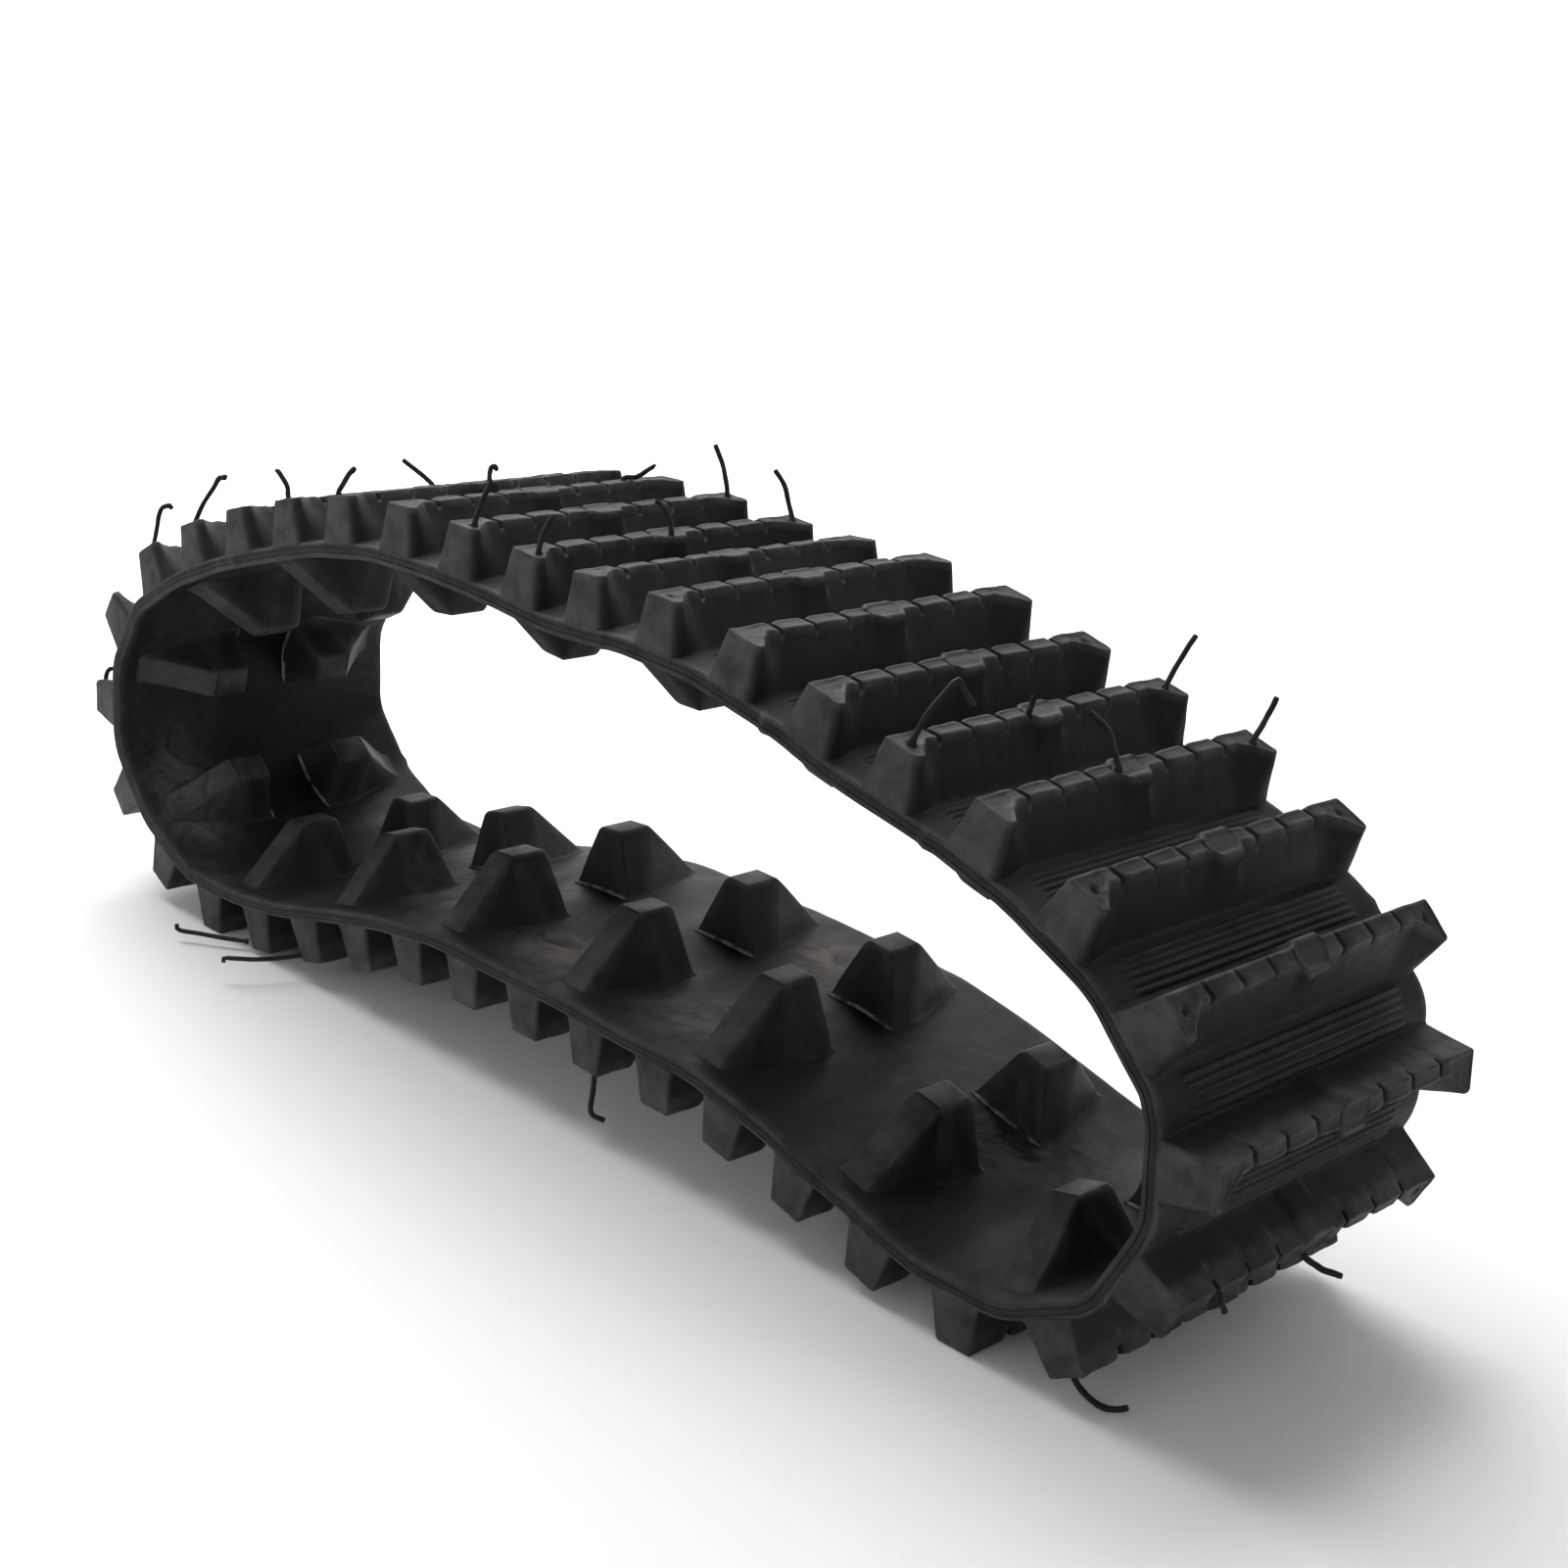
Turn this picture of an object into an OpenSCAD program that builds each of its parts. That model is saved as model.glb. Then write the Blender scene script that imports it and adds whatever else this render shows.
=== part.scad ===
// Endless rubber crawler track, lying on its lower run as a relaxed loop.
// X runs along the loop towards the tight nose, Y across the belt, Z up.
// The origin is the middle of the ground face of the front foot bar.

/* [Belt] */
// Width of the belt and of each tread bar
belt_w = 230; // [180:1:300]
// Pitch from one tread bar to the next, along the cord line
bar_pitch = 60; // [58:1:80]
// Thickness of the rubber belt
belt_t = 10; // [8:0.5:14]
// Rest between two flexing sections, at the cord line
flex_gap = 0.3; // [0.2:0.1:0.6]
// Extra rest between two flexing sections, at the belt's faces
flex_relief = 1.2; // [0.8:0.1:2]

/* [Resting shape] */
// Direction of the first bar's seat, the one behind the front foot
first_heading = 207; // [207:1:207]
// Whole degrees the belt turns in each gap between two bars, round the loop
turns = [
    -27, -15, 0, 4, 11, -3, 4, -1, 8, 5, 1, -6, -8,      // lower run, with its low arch
    -25, -24, -40, -33, -28,                             // round rear end
    -8, -5, -2, -6, -8, -4, -2, 8, -6, -9, -4, 4, -5,    // crown and top run
    -9, -20, -40, -31                                    // slope and tight nose
];

/* [Tread bars] */
// Height of a tread bar above the belt
bar_h = 30; // [20:1:40]
// Length of a tread bar at its root, along the belt
bar_root = 34; // [26:1:40]
// Length of a boss at its top, along the belt
boss_top = 24; // [16:1:28]
// Length of the thin blocks at their top, along the belt
block_top = 8; // [6:1:18]
// Width of an end boss at its back and at its front
end_boss_w = 32; // [20:1:40]
end_boss_front = 9; // [5:1:20]
// Width of the middle boss, and of the lobe at its front
mid_boss_w = 55; // [40:1:70]
mid_lobe_w = 24; // [15:1:30]
// Length of the middle lobe at its top, along the belt
mid_lobe_top = 16; // [10:1:20]
// Width of the notches between blocks
notch_w = 3.5; // [1.5:0.5:5]
// Depth of the notches between blocks
notch_d = 4; // [3:0.5:10]

/* [Drive lugs] */
// Height of a drive lug above the inner face
lug_h = 40; // [25:1:45]
// Length of a drive lug at its top and along its ramp
lug_top = 20; // [14:1:26]
// Length of a drive lug at its root, at the guide channel
lug_root = 53; // [40:1:60]
// Half width of the guide channel at the belt
channel_root = 25; // [20:1:40]
// Half width of the guide channel at the lug tops
channel_top = 31; // [26:1:50]
// Distance from the belt's middle to the start of the ramp
ramp_top = 58; // [45:1:70]
// Distance from the belt's middle to the foot of the ramp
ramp_foot = 99; // [80:1:105]

/* [Reinforcement] */
// Number of tension cord runs side by side
cord_n = 14; // [6:2:20]
// Thickness of a tension cord run
cord_t = 1.6; // [1:0.1:2.5]
// Spacing of the tension cord runs
cord_pitch = 14; // [8:1:20]
// Diameter of a cross rod
rod_d = 5.8; // [3:0.1:6]
// Length of a cross rod
rod_l = 190; // [120:5:200]

/* [Vent hairs] */
// Diameter of a moulding vent hair
hair_d = 3.4; // [1.5:0.1:4]

/* [Hidden] */
$fn = 32;

bars = 36;
half_t = belt_t / 2;
tip = half_t + bar_h;
block_w = (belt_w - 2 * end_boss_w - mid_boss_w - 6 * notch_w) / 4;
rubber = [0.17, 0.17, 0.18];

// Sections of the belt: first bar, last bar
lower_run = [0, 13];
rear_lower = [14, 15];
rear_upper = [16, 17];
crown_rear = [18, 21];
crown_front = [22, 25];
top_run = [26, 29];
front_slope = [30, 31];
nose_upper = [32, 33];
nose_lower = [34, 35];

// Heading of each bar's seat, and the flex point at its start
function heading(k) = k == 0 ? first_heading : heading(k - 1) + turns[k - 1];
head = [for (k = [0:bars - 1]) heading(k)];
function along(k) = [cos(head[k]), sin(head[k])];
function out(k) = [-sin(head[k]), cos(head[k])];
function flex(k) = k == 1 ? [bar_pitch / 2, tip]
    : k == 0 ? flex(1) - bar_pitch * along(0)
    : flex(k - 1) + bar_pitch * along(k - 1);
pts = [for (k = [0:bars]) flex(k)];
function seat(k) = (pts[k] + pts[k + 1]) / 2;

// Mitred point of the belt at flex point k, h outside the cord line
function mitre(k, h) =
    let (a = out((k + bars - 1) % bars), b = out(k % bars))
    pts[k] + h * (a + b) / (1 + a * b);
function rest(h) = flex_gap / 2 + (flex_relief / 2) * abs(h) / half_t;

// A layer of the belt between two heights, over the bars of one section
function side(s, h, grow) = concat(
    [mitre(s[0], h) + (rest(h) - grow) * along(s[0])],
    [for (k = [s[0] + 1:1:s[1]]) mitre(k, h)],
    [mitre(s[1] + 1, h) - (rest(h) - grow) * along(s[1])]);
function reversed(v) = [for (i = [len(v) - 1:-1:0]) v[i]];
module layer(s, lo, hi, w, grow = 0) {
    mid = lo < 0 && hi > 0;
    rotate([90, 0, 0])
        linear_extrude(w, center = true)
            polygon(concat(
                side(s, hi, grow),
                mid ? [pts[s[1] + 1] - (rest(0) - grow) * along(s[1])] : [],
                reversed(side(s, lo, grow)),
                mid ? [pts[s[0]] + (rest(0) - grow) * along(s[0])] : []));
}

// Frame of one bar's seat: X along the belt, Z outwards
module at_seat(k) {
    c = seat(k);
    translate([c[0], 0, c[1]]) rotate([0, -head[k], 0]) children();
}

// Runs of the tension cord, side by side
module cord_runs(s, w, lo, hi, grow = 0) {
    for (i = [0:cord_n - 1])
        translate([0, (i - (cord_n - 1) / 2) * cord_pitch, 0])
            layer(s, lo, hi, w, grow);
}

// Smooth rubber cover on the tread side
module outer_cover(s) {
    color(rubber) layer(s, cord_t / 2, half_t, belt_w);
}

// Rubber cover on the drive side, with open grooves that seat the cords
module inner_cover(s) {
    color(rubber) difference() {
        layer(s, -half_t, cord_t / 2, belt_w);
        cord_runs(s, cord_t + 0.1, -cord_t / 2, cord_t / 2 + 0.5, 2);
    }
}

// Steel tension cord, one run in each groove
module tension_cords(s) {
    color([0.62, 0.64, 0.66]) cord_runs(s, cord_t, -cord_t / 2 + 0.05, cord_t / 2 - 0.05);
}

// Stiffening rod in the root of each tread bar
module cross_rods(s) {
    color([0.80, 0.78, 0.55]) for (k = [s[0]:s[1]])
        at_seat(k) translate([-2, 0, half_t + rod_d / 2 + 0.1]) rotate([90, 0, 0])
            cylinder(d = rod_d, h = rod_l, center = true);
}

// Profile of a bar at the bosses and at the thin blocks
module bar_profile(front_root, front_top) {
    polygon([[-bar_root / 2, half_t], [-boss_top / 2, tip],
        [front_top, tip], [front_root, half_t]]);
}
module across(w) {
    rotate([90, 0, 0]) linear_extrude(w, center = true) children();
}
module tread_bar() {
    difference() {
        intersection() {
            union() {
                across(belt_w) bar_profile(bar_root / 2 - 3, block_top - boss_top / 2);
                across(mid_lobe_w) bar_profile(bar_root / 2 - 1, mid_lobe_top - boss_top / 2);
                // end bosses, full length at the belt edge and tapering inwards
                intersection() {
                    across(belt_w) bar_profile(bar_root / 2, boss_top / 2);
                    for (m = [0, 1]) mirror([0, m, 0]) linear_extrude(tip + 1)
                        polygon([[-bar_root / 2, belt_w / 2], [bar_root / 2, belt_w / 2],
                            [bar_root / 2, belt_w / 2 - end_boss_front],
                            [boss_top / 2, belt_w / 2 - end_boss_front],
                            [-boss_top / 2, belt_w / 2 - end_boss_w],
                            [-bar_root / 2, belt_w / 2 - end_boss_w]]);
                }
            }
            // end draft
            rotate([90, 0, 90]) linear_extrude(bar_root + 2, center = true)
                polygon([[-belt_w / 2, half_t], [belt_w / 2, half_t],
                    [belt_w / 2 - 3, tip], [-belt_w / 2 + 3, tip]]);
        }
        // notches between the blocks
        for (m = [-1, 1], i = [0:2])
            translate([0, m * (mid_boss_w / 2 + notch_w / 2 + i * (block_w + notch_w)), tip])
                cube([bar_root, notch_w, 2 * notch_d], center = true);
        // seat of the cross rod, open towards the belt
        translate([-2, 0, 0]) across(rod_l + 0.4) union() {
            translate([0, half_t + rod_d / 2 + 0.1]) circle(d = rod_d + 0.2);
            translate([-(rod_d + 0.2) / 2, half_t - 1]) square([rod_d + 0.2, rod_d / 2 + 1.1]);
        }
    }
}
module tread_bars(s) {
    color(rubber) for (k = [s[0]:s[1]]) at_seat(k) tread_bar();
}

// One drive lug on the inner face, seated over the gap at flex point k
module drive_lug(k) {
    bend = turns[k - 1];
    c = cos(bend / 2);
    foot = -half_t / c + (lug_root / 2) * sin(bend / 2);
    top = -half_t - lug_h;
    intersection() {
        across(2 * belt_w) polygon([[-lug_root / 2 * c, foot], [0, -half_t / c],
            [lug_root / 2 * c, foot], [lug_top / 2, top], [-lug_top / 2, top]]);
        rotate([90, 0, 90]) linear_extrude(lug_root + 10, center = true)
            polygon([[channel_root - 0.8, 0], [channel_top, top], [ramp_top, top],
                [ramp_foot, -half_t], [ramp_foot, 0]]);
        translate([0, 0, top - 1]) linear_extrude(lug_h + belt_t)
            polygon([[-lug_root / 2 - 1, channel_root - 5], [lug_root / 2 + 1, channel_root - 5],
                [lug_top / 2, ramp_foot], [-lug_top / 2, ramp_foot]]);
    }
}
module drive_lugs(s) {
    color(rubber) for (k = [s[0] + 1:2:s[1]])
        translate([pts[k][0], 0, pts[k][1]]) rotate([0, -(head[k - 1] + head[k]) / 2, 0])
            for (m = [0, 1]) mirror([0, m, 0]) drive_lug(k);
}

// Vent hairs left by the mould: bar, place across the belt, place along the
// bar's top, way the hair leans, bend radius, bend angle
hairs = [
    [0, -98, 8, 180, 21, 95],
    [6, -103, 0, 195, 32, 58],
    [16, -103, 8, 45, 8, 150],
    [18, -103, -4, 40, 27, 72], [19, -103, -5, 50, 29, 78], [21, -103, -8, 205, 35, 32], [21, 5, 0, 220, 19, 84],
    [22, -106, -8, 65, 15, 62], [22, 5, 2, 85, 17, 36], [23, 75, -8, 55, 12, 128],
    [24, -103, 2, 95, 34, 48], [24, 103, 0, 180, 38, 54], [25, -103, 2, 105, 26, 48], [25, 0, 0, 190, 19, 68], [25, 103, 0, 190, 31, 66],
    [30, -103, -1, 80, 32, 74], [30, -10, -4, 120, 11, 52], [30, 103, 0, 95, 33, 60],
    [31, -8, -6, 190, 21, 102], [31, 103, 0, 110, 27, 62],
    [35, 0, 2, 90, 19, 68], [35, -80, -8, 10, 8, 68]
];
// Hairs that lie flat beside the foot bars: bar, length
lying = [[11, 44], [12, 48]];
module hair(r, a) {
    translate([r, 0, 0]) mirror([1, 0, 0]) rotate([90, 0, 0])
        rotate_extrude(angle = a) translate([r, 0]) circle(d = hair_d);
}
module vent_hairs(s) {
    color([0.10, 0.10, 0.11]) {
        for (h = hairs) if (h[0] >= s[0] && h[0] <= s[1])
            at_seat(h[0]) translate([h[2], h[1], tip]) rotate([0, 0, h[3]]) hair(h[4], h[5]);
        for (h = lying) if (h[0] >= s[0] && h[0] <= s[1])
            translate([seat(h[0])[0] - 4, -belt_w / 2 + 2.5, hair_d / 2 + 1 + (seat(h[0])[1] - tip)])
                rotate([90, 0, 0]) cylinder(d = hair_d, h = h[1]);
    }
}

outer_cover(lower_run);  // lower_run_outer_cover
inner_cover(lower_run);  // lower_run_inner_cover
tension_cords(lower_run);  // lower_run_tension_cords
cross_rods(lower_run);  // lower_run_cross_rods
tread_bars(lower_run);  // lower_run_tread_bars
drive_lugs(lower_run);  // lower_run_drive_lugs
vent_hairs(lower_run);  // lower_run_vent_hairs
outer_cover(rear_lower);  // rear_lower_outer_cover
inner_cover(rear_lower);  // rear_lower_inner_cover
tension_cords(rear_lower);  // rear_lower_tension_cords
cross_rods(rear_lower);  // rear_lower_cross_rods
tread_bars(rear_lower);  // rear_lower_tread_bars
drive_lugs(rear_lower);  // rear_lower_drive_lugs
outer_cover(rear_upper);  // rear_upper_outer_cover
inner_cover(rear_upper);  // rear_upper_inner_cover
tension_cords(rear_upper);  // rear_upper_tension_cords
cross_rods(rear_upper);  // rear_upper_cross_rods
tread_bars(rear_upper);  // rear_upper_tread_bars
drive_lugs(rear_upper);  // rear_upper_drive_lugs
vent_hairs(rear_upper);  // rear_upper_vent_hairs
outer_cover(crown_rear);  // crown_rear_outer_cover
inner_cover(crown_rear);  // crown_rear_inner_cover
tension_cords(crown_rear);  // crown_rear_tension_cords
cross_rods(crown_rear);  // crown_rear_cross_rods
tread_bars(crown_rear);  // crown_rear_tread_bars
drive_lugs(crown_rear);  // crown_rear_drive_lugs
vent_hairs(crown_rear);  // crown_rear_vent_hairs
outer_cover(crown_front);  // crown_front_outer_cover
inner_cover(crown_front);  // crown_front_inner_cover
tension_cords(crown_front);  // crown_front_tension_cords
cross_rods(crown_front);  // crown_front_cross_rods
tread_bars(crown_front);  // crown_front_tread_bars
drive_lugs(crown_front);  // crown_front_drive_lugs
vent_hairs(crown_front);  // crown_front_vent_hairs
outer_cover(top_run);  // top_run_outer_cover
inner_cover(top_run);  // top_run_inner_cover
tension_cords(top_run);  // top_run_tension_cords
cross_rods(top_run);  // top_run_cross_rods
tread_bars(top_run);  // top_run_tread_bars
drive_lugs(top_run);  // top_run_drive_lugs
outer_cover(front_slope);  // front_slope_outer_cover
inner_cover(front_slope);  // front_slope_inner_cover
tension_cords(front_slope);  // front_slope_tension_cords
cross_rods(front_slope);  // front_slope_cross_rods
tread_bars(front_slope);  // front_slope_tread_bars
drive_lugs(front_slope);  // front_slope_drive_lugs
vent_hairs(front_slope);  // front_slope_vent_hairs
outer_cover(nose_upper);  // nose_upper_outer_cover
inner_cover(nose_upper);  // nose_upper_inner_cover
tension_cords(nose_upper);  // nose_upper_tension_cords
cross_rods(nose_upper);  // nose_upper_cross_rods
tread_bars(nose_upper);  // nose_upper_tread_bars
drive_lugs(nose_upper);  // nose_upper_drive_lugs
outer_cover(nose_lower);  // nose_lower_outer_cover
inner_cover(nose_lower);  // nose_lower_inner_cover
tension_cords(nose_lower);  // nose_lower_tension_cords
cross_rods(nose_lower);  // nose_lower_cross_rods
tread_bars(nose_lower);  // nose_lower_tread_bars
drive_lugs(nose_lower);  // nose_lower_drive_lugs
vent_hairs(nose_lower);  // nose_lower_vent_hairs
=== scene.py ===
import math
import bpy
import numpy as np
from mathutils import Matrix, Vector


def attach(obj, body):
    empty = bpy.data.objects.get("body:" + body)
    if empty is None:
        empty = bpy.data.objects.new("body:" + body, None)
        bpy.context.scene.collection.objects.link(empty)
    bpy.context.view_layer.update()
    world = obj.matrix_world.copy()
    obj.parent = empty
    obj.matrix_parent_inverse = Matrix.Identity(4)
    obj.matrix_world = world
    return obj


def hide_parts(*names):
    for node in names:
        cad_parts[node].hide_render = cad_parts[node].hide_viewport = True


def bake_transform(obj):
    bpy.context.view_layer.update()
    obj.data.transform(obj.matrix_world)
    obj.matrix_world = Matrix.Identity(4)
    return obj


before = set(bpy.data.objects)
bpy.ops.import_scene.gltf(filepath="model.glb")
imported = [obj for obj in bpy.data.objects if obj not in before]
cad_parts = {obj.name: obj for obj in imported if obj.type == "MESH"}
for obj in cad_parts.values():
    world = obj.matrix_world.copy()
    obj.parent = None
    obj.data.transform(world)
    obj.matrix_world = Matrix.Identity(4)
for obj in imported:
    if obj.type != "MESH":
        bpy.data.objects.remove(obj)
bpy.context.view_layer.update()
rng = np.random.default_rng(36)

# ---------------------------------------------------------------- camera
cam_data = bpy.data.cameras.new("camera")
cam_data.sensor_width = 36.0
cam_data.lens = 53.4368
cam_data.clip_start = 0.01
cam_data.clip_end = 100.0
cam = bpy.data.objects.new("camera", cam_data)
bpy.context.scene.collection.objects.link(cam)
cam.matrix_world = (Matrix.Translation((0.661346, -0.933629, 0.622541))
                    @ Matrix.Rotation(math.radians(45.74714719), 4, "Z")
                    @ Matrix.Rotation(math.radians(-3.84106046), 4, "Y")
                    @ Matrix.Rotation(math.radians(72.60211019), 4, "X"))
bpy.context.scene.camera = cam

# ---------------------------------------------------------------- loop shape, mm
PITCH, TIP, HALF_T, HALF_W = 60.0, 35.0, 5.0, 115.0
TURNS = [-27, -15, 0, 4, 11, -3, 4, -1, 8, 5, 1, -6, -8, -25, -24, -40, -33, -28,
         -8, -5, -2, -6, -8, -4, -2, 8, -6, -9, -4, 4, -5, -9, -20, -40, -31]
head = [207.0]
for t in TURNS:
    head.append(head[-1] + t)
head = np.array(head)
turn = np.array([head[0] - 360.0 - head[35]] + [float(t) for t in TURNS])
H_ = np.radians(head)
T = np.stack([np.cos(H_), np.sin(H_)], 1)
N = np.stack([-T[:, 1], T[:, 0]], 1)
P = np.zeros((37, 2))
P[1] = (PITCH / 2, TIP)
P[0] = P[1] - PITCH * T[0]
for k in range(2, 37):
    P[k] = P[k - 1] + PITCH * T[k - 1]
seat = (P[:-1] + P[1:]) / 2

SECTIONS = {"lower_run": (0, 13), "rear_lower": (14, 15), "rear_upper": (16, 17),
            "crown_rear": (18, 21), "crown_front": (22, 25), "top_run": (26, 29),
            "front_slope": (30, 31), "nose_upper": (32, 33), "nose_lower": (34, 35)}
BODY_OF_BAR = {}
for name, (a, b) in SECTIONS.items():
    for k in range(a, b + 1):
        BODY_OF_BAR[k] = name

ARC = 12.0   # the belt bends over this much on each side of a flex point


def line_at(s):
    """Point on the cord line and outward normal at distance s (mm) round the loop."""
    s = np.asarray(s, float) % (36 * PITCH)
    k = np.floor(s / PITCH).astype(int) % 36
    d = s - k * PITCH
    pt = P[k] + d[:, None] * T[k]
    ang = H_[k].copy()
    near = np.where(d < ARC, k, np.where(d > PITCH - ARC, k + 1, -1))
    off = np.where(d < ARC, d, d - PITCH)
    for i in np.nonzero(near >= 0)[0]:
        j = int(near[i])
        jj = j % 36
        th = math.radians(turn[jj])
        a0 = H_[(jj - 1) % 36]
        f = (off[i] + ARC) / (2 * ARC)
        if abs(th) < 1e-4:
            ang[i] = a0 + f * th
            continue
        sg = 1.0 if th > 0 else -1.0
        R = ARC / math.tan(abs(th) / 2)
        A = P[jj] - ARC * np.array([math.cos(a0), math.sin(a0)])
        C = A + sg * R * np.array([-math.sin(a0), math.cos(a0)])
        an = a0 + f * th
        pt[i] = C - sg * R * np.array([-math.sin(an), math.cos(an)])
        ang[i] = an
    return pt, np.stack([-np.sin(ang), np.cos(ang)], 1)


# ---------------------------------------------------------------- small noise
def hash_noise(x, seed):
    """Smooth 1-D noise in -1..1."""
    x = np.asarray(x, float)
    i = np.floor(x)
    f = x - i
    f = f * f * (3 - 2 * f)

    def h(n):
        v = np.sin(n * 127.1 + seed * 311.7) * 43758.5453
        return (v - np.floor(v)) * 2 - 1
    return h(i) * (1 - f) + h(i + 1) * f


def noise2(x, y, seed):
    x, y = np.asarray(x, float), np.asarray(y, float)
    i, j = np.floor(x), np.floor(y)
    f, g = x - i, y - j
    f, g = f * f * (3 - 2 * f), g * g * (3 - 2 * g)

    def h(a, b):
        v = np.sin(a * 127.1 + b * 269.5 + seed * 311.7) * 43758.5453
        return (v - np.floor(v)) * 2 - 1
    return (h(i, j) * (1 - f) * (1 - g) + h(i + 1, j) * f * (1 - g)
            + h(i, j + 1) * (1 - f) * g + h(i + 1, j + 1) * f * g)


def smooth(x):
    x = np.clip(x, 0, 1)
    return x * x * (3 - 2 * x)


# dusty places on the drive side: middle, radius along X, radius across, strength
DUSTY = [((-547, -3, 66), 30, 30, 1.0), ((-240, -56, 83), 38, 32, 1.0), ((-365, -57, 85), 36, 30, 0.9), ((-265, 68, 83), 34, 26, 0.8),
         ((-455, 80, 83), 34, 26, 0.8), ((-526, -30, 71), 46, 30, 0.7), ((-628, 72, 47), 30, 30, 0.6), ((-60, 30, 46), 55, 45, 0.45),
         ((-780, -80, 85), 40, 25, 0.8), ((60, 40, 90), 30, 50, 0.35)]


def dust_at(co):
    d = np.zeros(len(co))
    for (x, y, z), rx, ry, k in DUSTY:
        d = np.maximum(d, 1.9 * k * np.exp(-((co[:, 0] - x) / rx) ** 2 - ((co[:, 1] - y) / ry) ** 2 - ((co[:, 2] - z) / 40.0) ** 2))
    return d


# ---------------------------------------------------------------- mesh helpers
class Shell:
    """Collects rings of points into one mesh, with a wear_and_highlight value per point: edge wear, and on the
    tread bars and drive lugs also a painted highlight.
    """

    def __init__(self):
        self.v, self.f, self.w, self.local, self.n = [], [], [], [], 0

    def loft(self, rings, wear_and_highlight=None, caps=True, flip=False):
        rings = np.asarray(rings, float)
        m, n = rings.shape[:2]
        base = self.n
        self.v.append(rings.reshape(-1, 3))
        self.w.append(np.zeros(m * n) if wear_and_highlight is None else np.asarray(wear_and_highlight, float).reshape(-1))
        self.n += m * n
        for i in range(m - 1):
            a, b = base + i * n, base + (i + 1) * n
            for j in range(n):
                q = (j + 1) % n
                quad = (a + j, a + q, b + q, b + j)
                self.f.append(quad[::-1] if flip else quad)
        if caps:
            first = tuple(range(base, base + n))
            last = tuple(range(base + (m - 1) * n, base + m * n))
            if flip:
                self.f += [first, last[::-1]]
            else:
                self.f += [first[::-1], last]

    def make(self, name, material, angle=38.0):
        co = np.concatenate(self.v) * 0.001
        me = bpy.data.meshes.new(name)
        me.from_pydata([tuple(c) for c in co], [], self.f)
        me.update()
        att = me.attributes.new("rest_co", "FLOAT_VECTOR", "POINT")
        att.data.foreach_set("vector", co.astype(np.float32).reshape(-1))
        att = me.attributes.new("wear_and_highlight", "FLOAT", "POINT")
        att.data.foreach_set("value", np.concatenate(self.w).astype(np.float32))
        att = me.attributes.new("dust", "FLOAT", "POINT")
        att.data.foreach_set("value", dust_at(co * 1000).astype(np.float32))
        if self.local:
            co = np.concatenate(self.local) * 0.001
            me.attributes["rest_co"].data.foreach_set("vector", co.astype(np.float32).reshape(-1))
        me.shade_smooth()
        me.set_sharp_from_angle(angle=math.radians(angle))
        ob = bpy.data.objects.new(name, me)
        bpy.context.scene.collection.objects.link(ob)
        me.materials.append(material)
        return ob


def rounded(corners, dist, count):
    """Polyline through corners, each replaced by a short curve. Same number of points each time."""
    out = []
    c = [np.array(p, float) for p in corners]
    for i, p in enumerate(c):
        k = count[i]
        if k <= 1 or i in (0, len(c) - 1):
            out.append(p)
            continue
        a, b = c[i - 1] - p, c[i + 1] - p
        la, lb = np.linalg.norm(a), np.linalg.norm(b)
        da, db = min(dist[i], 0.46 * la), min(dist[i], 0.46 * lb)
        s = p + a / max(la, 1e-9) * da
        e = p + b / max(lb, 1e-9) * db
        for t in np.linspace(0, 1, k):
            out.append((1 - t) ** 2 * s + 2 * t * (1 - t) * p + t * t * e)
    return out


def insert(points, i, n):
    """n points evenly between points[i] and points[i + 1]."""
    a, b = points[i], points[i + 1]
    return points[:i + 1] + [a + (b - a) * (j + 1) / (n + 1) for j in range(n)] + points[i + 1:]


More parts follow.
